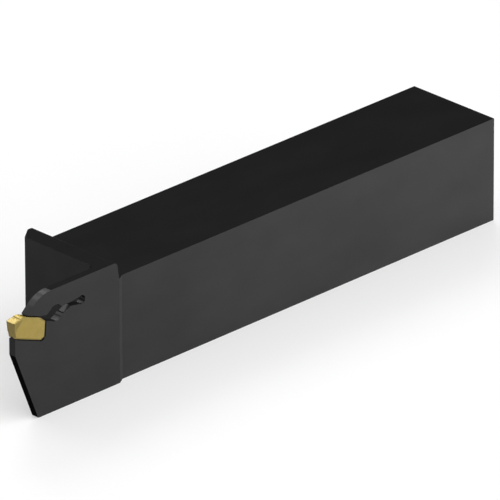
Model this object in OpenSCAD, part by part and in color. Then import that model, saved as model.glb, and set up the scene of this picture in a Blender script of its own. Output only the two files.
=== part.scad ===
// Turning tool holder for parting and grooving: a square shank with a thin
// blade whose spring jaw grips a single-ended insert. Millimetres. The shank
// lies along +X with the cutting edge at its front, and the blade is on the
// +Y side. The origin is at the middle of the footprint, on the base.

/* [Shank] */
// Height of the shank, which is also the height of the cutting edge
shank_h = 25; // [20:1:40]
// Width of the shank
shank_w = 25; // [16:1:40]
// Overall length, from the back end to the cutting edge
overall_l = 150; // [100:1:250]

/* [Head] */
// Distance from the cutting edge back to the front face of the head
head_back = 26.3; // [23:0.1:40]
// Thickness of the head along the shank, at the level of the shank's top
head_t = 5.7; // [4.5:0.1:20]
// Rise of the head above the shank's top
head_rise = 4.2; // [3.2:0.1:10]
// Angle by which the head's rear wall leans forward
wall_lean = 9; // [0:1:20]
// Radius of the edge between the rear wall and the head's top
wall_round = 1.1; // [0.2:0.1:1.8]
// Radius of the fillet at the foot of the rear wall
wall_fillet = 0.6; // [0.2:0.1:1.5]
// Length of the chamfer on the far front corner, along the shank
corner_l = 3.2; // [0.5:0.1:4.2]
// Width of the chamfer on the far front corner, across the shank
corner_w = 2.4; // [0.5:0.1:8]
// Step from the shank's side out to the blade's side
step_out = 1.08; // [0.4:0.02:2.5]
// Length of the ramp that leads up that step
ramp_l = 1.8; // [0.5:0.05:5]
// Radius of the fillet between the head's front face and the blade
web_fillet = 1.5; // [0.3:0.1:4]

/* [Blade] */
// Thickness of the blade
blade_t = 1.88; // [1.5:0.02:3]
// Distance from the cutting edge back to the blade's upright nose
nose_back = 0.55; // [0.3:0.05:1.2]
// Depth of the nose's lower end below the cutting edge
nose_drop = 8.1; // [6.5:0.1:14]
// Distance from the cutting edge back to the blade's toe
toe_back = 7.2; // [2:0.1:14]
// Radius of the toe's corner
toe_round = 0.4; // [0.1:0.1:2]

/* [Jaw] */
// Distance from the cutting edge back to the jaw's tip, along the insert
jaw_back = 3.85; // [3.5:0.05:5.5]
// Slope of the jaw's back, from its tip up to the head's top
jaw_slope = 43; // [30:1:60]
// Radius where that slope meets the head's top
jaw_round = 8; // [1:0.5:9]

/* [Insert] */
// Width of cut
cut_w = 2.65; // [2.3:0.05:4]
// Thickness of the insert behind its cutting head
body_t = 2.2; // [1.8:0.05:2.25]
// Angle by which the insert and its seat rise towards the cutting edge
tilt = 20; // [10:1:25]
// Length from the cutting edge to the lower rear corner
insert_l = 10.8; // [9.8:0.05:12]
// Height from the insert's bottom to its top
insert_h = 5; // [4.5:0.05:6]
// Height of the insert's top above the cutting edge
top_rise = 1.6; // [1.4:0.05:1.9]
// Angle by which the rear face leans from square to the insert
rear_lean = 15; // [0:1:20]
// Clearance angle of the front face
relief = 6; // [3:1:11]
// Height of the front face, from the cutting edge down to its lower chamfer
face_h = 2.25; // [1.8:0.05:2.7]
// Setback of the lower front chamfer
foot_chamfer = 0.7; // [0.3:0.05:1]
// Length of the lower rear chamfer
heel_l = 0.95; // [0.4:0.05:1.5]
// Height of the lower rear chamfer
heel_h = 0.8; // [0.4:0.05:1.3]
// Length of the upper rear chamfer
nape_l = 1.8; // [1:0.05:2.5]
// Height of the upper rear chamfer
nape_h = 0.65; // [0.3:0.05:1]
// Length of the rake, from the cutting edge back to the insert's top
rake_l = 2.6; // [2.2:0.05:3]
// Length of the gentler slope that ends the rake
brow_l = 0.5; // [0.2:0.05:0.8]
// Height of that slope
brow_h = 0.15; // [0.05:0.01:0.3]
// Radius of the chip groove across the rake
chip_r = 0.55; // [0.3:0.05:0.8]
// Depth of that groove
chip_depth = 0.15; // [0.05:0.01:0.25]
// Distance from the cutting edge back to that groove
chip_back = 1.45; // [1:0.05:1.6]
// Length of the relief on each side of the cutting head, at its top
cheek_l = 2.7; // [2.3:0.05:3.2]
// Depth of that relief's upper corner below the insert's top
cheek_drop = 0.45; // [0.3:0.05:0.8]
// Radius of the corners of the cutting edge
edge_r = 0.25; // [0.1:0.05:0.4]
// Width of the bevel round the insert's sides
bevel_w = 0.3; // [0.1:0.05:0.4]
// Depth of that bevel
bevel_d = 0.12; // [0.05:0.01:0.2]

/* [Seat] */
// Width of the V groove along the insert's top and bottom
groove_w = 0.9; // [0.7:0.05:1]
// Angle between the flanks of that groove
groove_angle = 110; // [100:1:120]
// Height to which the rails stand inside that groove
rail_h = 0.15; // [0.05:0.01:0.18]
// Distance by which the groove in the top runs out past the jaw's tip
groove_lead = 0.4; // [0:0.1:0.6]
// Gap between the insert and the flats above and below it
seat_gap = 0.3; // [0.1:0.01:0.35]
// Gap between the insert and the wall behind it
rear_gap = 0.4; // [0.1:0.05:0.6]
// Thickness of the rib on that wall against which the insert stops
stop_t = 0.8; // [0.5:0.05:1.2]
// Distance by which that rib stops short of the ends of the rear face
stop_short = 0.3; // [0.1:0.05:0.5]
// Clearance between the insert and the rails and rib that locate it
seat_fit = 0.01; // [0.005:0.005:0.02]
// Radius of the relief round the insert's lower rear chamfer
seat_relief = 0.65; // [0.3:0.05:0.8]

/* [Key slot] */
// Distance from the insert's upper rear corner back to the round lobe
lobe_back = 3.2; // [2.8:0.1:4.5]
// Height of the round lobe's centre above that corner
lobe_up = 0.8; // [0.4:0.05:1.2]
// Radius of the round lobe
lobe_r = 1.95; // [1.7:0.05:2.2]
// Height of the slit between the round lobe and the insert
mouth_h = 1.2; // [0.8:0.05:1.6]
// Distance from the insert back to where that slit starts to widen
mouth_back = 0.5; // [0.2:0.05:1]
// Angle on the round lobe of the point to which the slit's upper edge runs
mouth_high = 42; // [30:1:60]
// Angle on the round lobe of the point to which the slit's lower edge runs
mouth_low = -64; // [-75:1:-45]
// Angle on the round lobe of the point to which the sill's lip runs
lip_angle = 224; // [215:1:230]
// Distance from the round lobe's centre back to the front of the sill
sill_front = 2.05; // [1.9:0.05:2.2]
// Distance from the round lobe's centre back to the foot of the neck's ramp
sill_back = 2.6; // [2.3:0.05:3]
// Depth of the sill below the round lobe's centre
sill_drop = 0.8; // [0.6:0.05:1]
// Height of the neck's roof above the round lobe's centre
neck_up = 1.05; // [0.8:0.05:1.4]
// Distance from the round lobe's centre back to the crest of the ramp
crest_back = 4.65; // [4:0.05:5.5]
// Height of that crest above the round lobe's centre
crest_up = 0.15; // [0:0.05:0.4]
// Height of the throat above the crest
throat_h = 1; // [0.7:0.05:1.4]
// Distance from the round lobe's centre back to the centre of the tail's end
tail_back = 7.8; // [7:0.1:9]
// Height of the tail's end above the round lobe's centre
tail_up = 0.55; // [0.2:0.05:1]
// Radius of the tail's end
tail_r = 1.05; // [0.8:0.05:1.3]

/* [Hidden] */
$fn = 96;

// Amount by which a cut runs past the face that it opens
past = 1;

// Depth to which a rail or the rib is sunk into the steel that carries it
overlap = 0.1;

// Depth inside a round of the key slot at which the edges that run to it end
inset = 0.05;

// Places along the shank
head_front = overall_l - head_back;
head_rear = head_front - head_t;
nose_x = overall_l - nose_back;
toe_x = overall_l - toe_back;

// Places across the shank
blade_near = shank_w + step_out;
blade_far = blade_near - blade_t;
blade_mid = blade_near - blade_t / 2;
near_most = blade_mid + max(cut_w, blade_t) / 2;

// Heights
head_top = shank_h + head_rise;
nose_z = shank_h - nose_drop;

// Levels of the insert, measured square to it from the cutting edge
bottom = top_rise - insert_h;

// A point given along and square to the insert, as a place in side view
function placed(p) = [
    overall_l + p.x * cos(tilt) - p.y * sin(tilt),
    shank_h + p.x * sin(tilt) + p.y * cos(tilt)
];

// Setback of the insert's rear face at a level of the insert
function rear_at(level) =
    -insert_l + (level - bottom - heel_h) * tan(rear_lean);

// Setback of the insert's front face at a level below the cutting edge
function front_at(level) = level * tan(tilt + relief);

// A direction in side view, from its angle above the horizontal
function heading(angle) = [cos(angle), sin(angle)];

// Key points of the insert's side view
heel = [-insert_l, bottom + heel_h];
nape = [rear_at(top_rise - nape_h), top_rise - nape_h];
foot = [front_at(-face_h), -face_h];
brow = [-rake_l + brow_l, top_rise - brow_h];
cheek = [-cheek_l, top_rise - cheek_drop];

// Key points of the jaw, in side view
jaw_tip = placed([-jaw_back, top_rise + seat_gap]);
jaw_corner = [jaw_tip.x - (head_top - jaw_tip.y) / tan(jaw_slope), head_top];

// Centre of the key slot's round lobe, in side view
slot_datum = placed(nape);
lobe = slot_datum + [-lobe_back, lobe_up];

// Extrudes a side view across the tool, between two distances from its far side
module across(from, to)
    translate([0, to, 0])
        rotate([90, 0, 0])
            linear_extrude(to - from)
                children();

// Places what is drawn along and square to the insert at the cutting edge
module at_edge()
    translate([overall_l, 0, shank_h])
        rotate([0, -tilt, 0])
            children();

// Puts the origin at the middle of the footprint
module centred()
    translate([-overall_l / 2, -near_most / 2, 0])
        children();

// The piece between a corner and the arc that rounds it. The corner's two
// edges leave it at the angles toward_a and toward_b.
module corner_piece(corner, toward_a, toward_b, r) {
    a = heading(toward_a);
    b = heading(toward_b);
    half = acos(a * b) / 2;
    reach = r / tan(half);
    middle = (a + b) / norm(a + b) * r / sin(half);
    translate(corner)
        difference() {
            polygon([[0, 0], a * reach, middle, b * reach]);
            translate(middle) circle(r);
        }
}

// The head and blade seen from above
module plan() {
    difference() {
        polygon([
            [head_rear - ramp_l, 0],
            [head_front, 0],
            [head_front, blade_far],
            [overall_l, blade_far],
            [overall_l, blade_near],
            [head_rear, blade_near],
            [head_rear - ramp_l, shank_w]
        ]);
        polygon([
            [head_front - corner_l, 0],
            [head_front - corner_l, -past],
            [head_front + past, -past],
            [head_front + past, corner_w],
            [head_front, corner_w]
        ]);
    }
    corner_piece([head_front, blade_far], 0, -90, web_fillet);
}

// The head and blade seen from the side, with the insert's seat still filled
module profile() {
    lean_run = head_rise * tan(wall_lean);
    toe_angle = atan2(nose_z, nose_x - toe_x);
    difference() {
        polygon([
            [head_rear - ramp_l, 0],
            [toe_x, 0],
            [nose_x, nose_z],
            [nose_x, shank_h - insert_h / 2],
            jaw_tip,
            jaw_corner,
            [head_rear + lean_run, head_top],
            [head_rear, shank_h],
            [head_rear - ramp_l, shank_h]
        ]);
        corner_piece([head_rear + lean_run, head_top], 0, -90 - wall_lean, wall_round);
        corner_piece(jaw_corner, 180, -jaw_slope, jaw_round);
        corner_piece([toe_x, 0], 180, toe_angle, toe_round);
    }
    corner_piece([head_rear, shank_h], 180, 90 - wall_lean, wall_fillet);
}

// The insert's side view
module insert_outline()
    polygon([
        [0, 0],
        brow,
        [-rake_l, top_rise],
        [nape.x + nape_l, top_rise],
        nape,
        heel,
        [heel.x + heel_l, bottom],
        [foot.x - foot_chamfer, bottom],
        foot
    ]);

// The space in the blade that the insert fills, with the gap round it
module seat_outline() {
    floor_level = bottom - seat_gap;
    roof_level = top_rise + seat_gap;
    chamfer_mid = heel + [heel_l, -heel_h] / 2;
    polygon([for (p = [
        [past, floor_level],
        [chamfer_mid.x, floor_level],
        heel - [rear_gap, 0],
        nape - [rear_gap, 0],
        [nape.x + nape_l, roof_level],
        [past, roof_level]
    ]) placed(p)]);
    translate(placed(chamfer_mid)) circle(seat_relief);
}

// The slot that frees the jaw and takes the release key
module key_slot_outline() {
    inner_r = lobe_r - inset;
    tail_half = tail_r - inset;
    // Slit from the round lobe to the back of the insert
    polygon([
        placed(nape - [rear_gap, 0]),
        lobe + inner_r * heading(mouth_low),
        lobe,
        lobe + inner_r * heading(mouth_high),
        slot_datum + [-mouth_back, mouth_h],
        placed([nape.x + nape_l, top_rise + seat_gap])
    ]);
    translate(lobe) {
        circle(lobe_r);
        // Neck, with a sill and a ramp that rises to the throat, then the tail
        polygon([
            [0, -sill_drop],
            inner_r * heading(lip_angle),
            [-sill_front, -sill_drop],
            [-sill_back, -sill_drop],
            [-crest_back, crest_up],
            [-tail_back, tail_up - tail_half],
            [-tail_back, tail_up + tail_half],
            [-crest_back, crest_up + throat_h],
            [-sill_back, neck_up],
            [0, neck_up]
        ]);
        translate([-tail_back, tail_up]) circle(tail_r);
    }
}

// Cross-section of a V rail that stands on a flat, seen along the insert
module rail_section() {
    mouth = groove_w / 2 - seat_fit;
    spread = tan(groove_angle / 2);
    depth = seat_gap + overlap;
    polygon([
        [-mouth - depth * spread, -depth],
        [mouth + depth * spread, -depth],
        [mouth - rail_h * spread, rail_h],
        [-mouth + rail_h * spread, rail_h]
    ]);
}

// Cross-section of the V groove that sits on a rail
module groove_section() {
    half = groove_w / 2;
    spread = tan(groove_angle / 2);
    polygon([
        [-half - past * spread, -past],
        [half + past * spread, -past],
        [0, half / spread]
    ]);
}

// Runs a cross-section along the insert's bottom, between two setbacks
module along_bottom(from, to)
    at_edge()
        translate([from, blade_mid, bottom])
            rotate([90, 0, 90])
                linear_extrude(to - from)
                    children();

// Runs a cross-section along the insert's top, between two setbacks
module along_top(from, to)
    at_edge()
        translate([from, blade_mid, top_rise])
            rotate([90, 0, 90])
                linear_extrude(to - from)
                    mirror([0, 1])
                        children();

// The rib against which the insert stops, in side view
module stop_outline() {
    low = heel.y + stop_short;
    high = nape.y - stop_short;
    polygon([
        [rear_at(low) - seat_fit, low],
        [rear_at(high) - seat_fit, high],
        [rear_at(high) - rear_gap - overlap, high],
        [rear_at(low) - rear_gap - overlap, low]
    ]);
}

// The rails on the seat and under the jaw, cut off by the blade's outline
module rails()
    intersection() {
        union() {
            along_bottom(heel.x + heel_l, past) rail_section();
            along_top(nape.x + nape_l, -jaw_back) rail_section();
        }
        across(blade_far, blade_near) profile();
    }

// Body, head, blade and jaw in one piece of steel
module holder()
    color("#3a3a3c")
        centred() {
            difference() {
                union() {
                    cube([head_front - corner_l, shank_w, shank_h]);
                    intersection() {
                        linear_extrude(head_top) plan();
                        across(0, blade_near) profile();
                    }
                }
                across(blade_far - past, blade_near + past) {
                    seat_outline();
                    key_slot_outline();
                }
            }
            rails();
            at_edge()
                across(blade_mid - stop_t / 2, blade_mid + stop_t / 2) stop_outline();
        }

// The insert's body, with a bevel round both of its sides
module insert_body()
    hull() {
        across(blade_mid - body_t / 2 + bevel_d, blade_mid + body_t / 2 - bevel_d)
            insert_outline();
        across(blade_mid - body_t / 2, blade_mid + body_t / 2)
            offset(delta = -bevel_w) insert_outline();
    }

// The cutting head, which is widest at the cutting edge
module cutting_head() {
    thin = 0.01;
    hull() {
        for (side = [-1, 1])
            translate([-edge_r, blade_mid + side * (cut_w / 2 - edge_r), -thin])
                cylinder(h = thin, r = edge_r, $fn = 32);
        for (p = [brow, cheek, foot])
            translate([p.x, blade_mid - body_t / 2, p.y - thin])
                cube([thin, body_t, thin]);
    }
}

// The cylinder that cuts the chip groove across the rake
module chip_cutter() {
    slope = atan2(brow.y, -brow.x);
    off = chip_r - chip_depth;
    translate([-chip_back + off * sin(slope), 0, chip_back * tan(slope) + off * cos(slope)])
        rotate([-90, 0, 0])
            cylinder(h = near_most + past, r = chip_r);
}

// Carbide insert with its chip groove and the V grooves that locate it
module insert()
    color("#b49a4c")
        centred()
            difference() {
                at_edge() {
                    insert_body();
                    cutting_head();
                }
                at_edge() chip_cutter();
                along_bottom(-insert_l - past, past) groove_section();
                along_top(-insert_l - past, -jaw_back + groove_lead) groove_section();
            }

holder();
insert();
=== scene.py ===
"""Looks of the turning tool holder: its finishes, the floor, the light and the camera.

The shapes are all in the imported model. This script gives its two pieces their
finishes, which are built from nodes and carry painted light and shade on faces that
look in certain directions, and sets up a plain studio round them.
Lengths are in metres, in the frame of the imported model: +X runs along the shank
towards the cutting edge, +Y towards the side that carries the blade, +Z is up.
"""

import math

import bpy
from mathutils import Matrix, Vector


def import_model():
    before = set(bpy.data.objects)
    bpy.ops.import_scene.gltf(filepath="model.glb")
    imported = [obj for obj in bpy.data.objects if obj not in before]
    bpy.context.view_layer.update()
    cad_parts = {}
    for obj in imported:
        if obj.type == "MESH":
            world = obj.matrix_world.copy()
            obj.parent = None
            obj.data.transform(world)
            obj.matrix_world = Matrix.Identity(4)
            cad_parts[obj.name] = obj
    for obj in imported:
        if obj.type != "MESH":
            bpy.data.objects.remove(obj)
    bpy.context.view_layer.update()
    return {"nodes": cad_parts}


MM = 0.001

# Camera, as fitted to the photograph's edges
CAMERA_TURN = 45.255  # degrees from +X towards +Y
CAMERA_RISE = 25.009  # degrees above the horizon
CAMERA_ROLL = -0.19  # degrees
CAMERA_TARGET = Vector((-11.59, -1.872, 9.077)) * MM
CAMERA_DISTANCE = 2.7664
SENSOR_WIDTH = 36.0  # in millimetres, and so is the focal length
FOCAL_LENGTH = 899.8

# Studio
FLOOR_SIZE = 16.0
FLOOR_COLOUR = (0.9, 0.9, 0.9, 1)
FLOOR_GLOW = 0.4  # share of the floor's look that is plain white and takes no shadow
SKY_LOW = 0.10  # light from the horizon
SKY_HIGH = 0.70  # light from straight above
SKY_RISE = 0.40  # height on the sky, as a sine, at which it starts to brighten
# Each lamp: where its light comes from, its strength and its width in degrees
LAMPS = {
    "key": (Vector((-0.33, 0.80, 0.45)), 3.05, 94),
    "rim": (Vector((-0.47, -0.64, 0.61)), 0.84, 24),
    "fill": (Vector((0.13, -0.64, 0.75)), 0.46, 34),
}

# Painted light and shade: faces that look in certain directions get their colour made
# lighter or darker, standing in for how light falls on them. Each line has the direction,
# the cosines of the angle from it at which the change begins and ends, and the factors
# on the colour at the tool's back end and front: below one is painted shade, above one
# painted light.
STEEL_PAINTED_LIGHT = (
    ((0, 1, 0), 0.9, 0.95, 1.24, 0.89),  # near side
    ((0, 0, 1), 0.9988, 0.9999, 0.50, 0.55),  # tops
    ((0, 0, -1), 0.3, 0.6, 0.3, 0.3),  # undersides
    ((1, 0, 0), 0.9, 0.99, 0.66, 0.66),  # front of the head, and the nose
    ((-1, 0, 0), 0.6, 0.9, 1.3, 1.3),  # back end
    ((-0.51, 0.86, 0), 0.95, 0.99, 2.0, 2.0),  # ramp between shank and head
    ((-0.38, 0, 0.925), 0.93, 0.96, 0.6, 0.6),  # rounding behind the head's top
    ((0.73, 0, 0.68), 0.9, 0.95, 0.88, 0.88),  # slope of the jaw's back
    ((0.42, 0, 0.907), 0.99, 0.999, 1.42, 1.42),  # slot's floor, and part of the jaw's rounding
    ((0.93, 0, -0.37), 0.97, 0.99, 0.2, 0.2),  # blade's slanting front, below the nose
)
# Painted light and shade on the insert's faces, in the same way
GOLD_PAINTED_LIGHT = (
    ((0.71, 0.71, 0), 0.86, 0.94, 0.35, 0.35),  # corner between the front and the near side
    ((-0.13, 0.93, 0.35), 0.97, 0.99, 0.65, 0.65),  # upper bevel of the near side
    ((1, 0, 0), 0.9, 0.99, 0.54, 0.54),  # front
    ((-1, 0, -1), 0.03, 0.1, 0.74, 0.74),  # relief beside the cutting head, back and bottom
    ((-0.34, 0, 0.94), 0.95, 0.99, 1.6, 1.6),  # top
    ((-0.12, 0, 0.99), 0.992, 0.998, 2.0, 2.0),  # end of the rake
    ((0.25, 0, 0.97), 0.99, 0.998, 0.92, 0.92),  # rake
)

# Finishes
PAINTED_LIGHT_BACK = -75 * MM  # up to here along the tool, the painted light and shade are those of its back end
PAINTED_LIGHT_FRONT = 60 * MM  # and from here on, those of its front
NOISE_DETAIL = 3.0  # how many finer layers the noise has
NOISE_LOW = 0.3  # most of the noise lies above this
NOISE_HIGH = 0.7  # and below this
SHEEN_LEVEL = 0.0  # mirroring of the part of a finish that scatters light
COAT_ROUGHNESS = 0.22
EDGE_TINT = (0.1, 0.1, 0.1, 1)  # how far a finish brightens at a glancing angle
STEEL_DARK = (0.048, 0.048, 0.0485, 1)
STEEL_LIGHT = (0.055, 0.055, 0.0555, 1)
GOLD_DARK = (0.31, 0.232, 0.051, 1)
GOLD_LIGHT = (0.36, 0.270, 0.065, 1)


class Nodes:
    """A material's node tree, with short ways to add and join its nodes."""

    def __init__(self, name):
        self.material = bpy.data.materials.new(name)
        self.material.use_nodes = True
        self.tree = self.material.node_tree
        self.tree.nodes.clear()

    def add(self, kind, operation=None, **inputs):
        """Adds a node and fills its inputs, each with a value or another node's output."""
        node = self.tree.nodes.new("ShaderNode" + kind)
        if operation:
            node.operation = operation
        for name, value in inputs.items():
            socket = node.inputs[name.replace("_", " ")]
            if isinstance(value, bpy.types.NodeSocket):
                self.tree.links.new(value, socket)
            else:
                socket.default_value = value
        return node

    def noise(self, coords, scale):
        """Noise in object space. scale is in features per metre along x, y and z."""
        scaled = self.add("Mapping", Vector=coords, Scale=scale).outputs["Vector"]
        return self.add("TexNoise", Vector=scaled, Scale=1.0, Detail=NOISE_DETAIL).outputs["Fac"]

    def spread(self, value, low, high):
        """Maps noise, which keeps close to a half, onto the range from low to high."""
        return self.ramp(value, NOISE_LOW, NOISE_HIGH, low, high)

    def ramp(self, value, start, end, low, high):
        """Maps a value onto the range from low, at start and before, to high, at end and after."""
        node = self.add("MapRange", Value=value, From_Min=start, From_Max=end, To_Min=low, To_Max=high)
        return node.outputs["Result"]

    def cosine(self, normal, direction):
        """The cosine of the angle between a normal and a direction."""
        node = self.add("VectorMath", operation="DOT_PRODUCT", Vector=normal)
        node.inputs[1].default_value = Vector(direction).normalized()
        return node.outputs["Value"]

    def math(self, operation, first, second):
        """Joins two outputs by one arithmetic operation."""
        node = self.add("Math", operation=operation)
        self.tree.links.new(first, node.inputs[0])
        self.tree.links.new(second, node.inputs[1])
        return node.outputs["Value"]

    def scale(self, colour, factor):
        """A colour made lighter or darker by a factor."""
        return self.add("VectorMath", operation="SCALE", Vector=colour, Scale=factor).outputs["Vector"]

    def blend(self, share, first, second):
        """Blends two colours."""
        node = self.tree.nodes.new("ShaderNodeMix")
        node.data_type = "RGBA"
        self.tree.links.new(share, node.inputs["Factor"])
        node.inputs["A"].default_value = first
        node.inputs["B"].default_value = second
        return node.outputs["Result"]

    def output(self, shader):
        """Joins a shader to the material's surface."""
        self.tree.links.new(shader, self.add("OutputMaterial").inputs["Surface"])
        return self.material


def metal(name, dark, light, painted_light, metallic, coat, roughness, cloud, grain, grain_height, edge):
    """A satin metal finish, with light and shade painted into its colour.

    dark and light are its two colours, and painted_light says how much lighter or darker
    they are painted, standing in for light and shade, on faces that look in certain
    directions. metallic is the share of it that mirrors light and doesn't scatter it,
    coat is how strong its clear sheen is and roughness is its lowest and highest.
    cloud and grain are how many features there are in a metre along each axis,
    grain_height is how deep the grain is and edge how far the edges are rounded.
    """
    n = Nodes(name)
    places = n.add("TexCoord").outputs
    coords = places["Object"]
    clouds = n.noise(coords, cloud)
    lines = n.noise(coords, grain)
    along = n.add("SeparateXYZ", Vector=coords).outputs["X"]
    colour = n.blend(n.spread(clouds, 0, 1), dark, light)
    # Painted light and shade: the colour is scaled up or down on faces that look in the listed
    # directions, by a factor that changes along the tool
    for direction, start, end, back, front in painted_light:
        painted_factor = n.ramp(along, PAINTED_LIGHT_BACK, PAINTED_LIGHT_FRONT, back, front)
        faced = n.cosine(places["Normal"], direction)
        colour = n.scale(colour, n.ramp(faced, start, end, 1.0, painted_factor))
    rounded = n.add("Bevel", Radius=edge).outputs["Normal"]
    bumped = n.add("Bump", Strength=1.0, Distance=grain_height, Height=lines, Normal=rounded)
    shader = n.add(
        "BsdfPrincipled",
        Base_Color=colour,
        Metallic=metallic,
        Specular_IOR_Level=SHEEN_LEVEL,
        Specular_Tint=EDGE_TINT,
        Coat_Weight=coat,
        Coat_Roughness=COAT_ROUGHNESS,
        Roughness=n.spread(lines, *roughness),
        Normal=bumped.outputs["Normal"],
    )
    return n.output(shader.outputs["BSDF"])


def floor_finish():
    """The floor's plain pale finish.

    A share of it is plain white where the camera or a mirroring or clear surface
    sees it. The rest of it takes light and the object's shadow.
    """
    n = Nodes("floor")
    ray = n.add("LightPath").outputs
    seen = n.math("MAXIMUM", ray["Is Camera Ray"], ray["Is Glossy Ray"])
    seen = n.math("MAXIMUM", seen, ray["Is Transmission Ray"])
    mix = n.add("MixShader", Fac=n.ramp(seen, 0.0, 1.0, 0.0, FLOOR_GLOW))
    n.tree.links.new(n.add("BsdfDiffuse", Color=FLOOR_COLOUR).outputs["BSDF"], mix.inputs[1])
    n.tree.links.new(n.add("Emission", Strength=1.0).outputs["Emission"], mix.inputs[2])
    return n.output(mix.outputs["Shader"])


def dress(node, material):
    """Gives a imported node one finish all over."""
    node.data.materials.clear()
    node.data.materials.append(material)


def make_floor():
    """A wide plain floor under the tool."""
    half = FLOOR_SIZE / 2
    mesh = bpy.data.meshes.new("floor")
    corners = [(-half, -half, 0), (half, -half, 0), (half, half, 0), (-half, half, 0)]
    mesh.from_pydata(corners, [], [(0, 1, 2, 3)])
    floor = bpy.data.objects.new("floor", mesh)
    bpy.context.scene.collection.objects.link(floor)
    mesh.materials.append(floor_finish())


def light_scene():
    """A sky that is brightest overhead, a soft key lamp and two lamps from the far side."""
    scene = bpy.context.scene
    world = bpy.data.worlds.new("studio")
    world.use_nodes = True
    tree = world.node_tree
    direction = tree.nodes.new("ShaderNodeTexCoord").outputs["Generated"]
    height = tree.nodes.new("ShaderNodeSeparateXYZ")
    level = tree.nodes.new("ShaderNodeMapRange")
    level.interpolation_type = "SMOOTHSTEP"
    level.inputs["From Min"].default_value = SKY_RISE
    level.inputs["To Min"].default_value = SKY_LOW
    level.inputs["To Max"].default_value = SKY_HIGH
    background = tree.nodes["Background"]
    background.inputs["Color"].default_value = (1, 1, 1, 1)
    tree.links.new(direction, height.inputs["Vector"])
    tree.links.new(height.outputs["Z"], level.inputs["Value"])
    tree.links.new(level.outputs["Result"], background.inputs["Strength"])
    scene.world = world
    for name, (source, strength, width) in LAMPS.items():
        lamp = bpy.data.lights.new(name, "SUN")
        lamp.energy = strength
        lamp.angle = math.radians(width)
        carrier = bpy.data.objects.new(name, lamp)
        carrier.rotation_mode = "QUATERNION"
        carrier.rotation_quaternion = (-source).to_track_quat("-Z", "Y")
        carrier.location = source.normalized()
        scene.collection.objects.link(carrier)


def make_camera():
    """The camera, at the photograph's angle, looking at the point in the middle of its frame."""
    turn, rise, roll = (math.radians(a) for a in (CAMERA_TURN, CAMERA_RISE, CAMERA_ROLL))
    back = Vector((math.cos(turn) * math.cos(rise), math.sin(turn) * math.cos(rise), math.sin(rise)))
    level = Vector((-math.sin(turn), math.cos(turn), 0))
    right = level * math.cos(roll) + back.cross(level) * math.sin(roll)
    up = back.cross(right)
    data = bpy.data.cameras.new("camera")
    data.sensor_width = SENSOR_WIDTH
    data.lens = FOCAL_LENGTH
    data.clip_end = 2 * FLOOR_SIZE
    camera = bpy.data.objects.new("camera", data)
    place = Matrix((right, up, back)).transposed().to_4x4()
    place.translation = CAMERA_TARGET + back * CAMERA_DISTANCE
    camera.matrix_world = place
    bpy.context.scene.collection.objects.link(camera)
    bpy.context.scene.camera = camera


def main():
    """Sets up the studio and dresses the two pieces."""
    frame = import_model()
    bpy.context.scene.view_settings.view_transform = "Standard"
    make_camera()
    light_scene()
    make_floor()
    steel = metal(
        "black_steel",
        STEEL_DARK,
        STEEL_LIGHT,
        painted_light=STEEL_PAINTED_LIGHT,
        metallic=0.55,
        coat=0.0,
        roughness=(0.22, 0.25),
        cloud=(60, 120, 120),
        grain=(150, 6000, 6000),
        grain_height=0.00015 * MM,
        edge=0.12 * MM,
    )
    gold = metal(
        "gold_coating",
        GOLD_DARK,
        GOLD_LIGHT,
        painted_light=GOLD_PAINTED_LIGHT,
        metallic=0.55,
        coat=0.5,
        roughness=(0.22, 0.28),
        cloud=(700, 700, 700),
        grain=(6000, 6000, 6000),
        grain_height=0.001 * MM,
        edge=0.1 * MM,
    )
    dress(frame["nodes"]["holder"], steel)
    dress(frame["nodes"]["insert"], gold)


main()
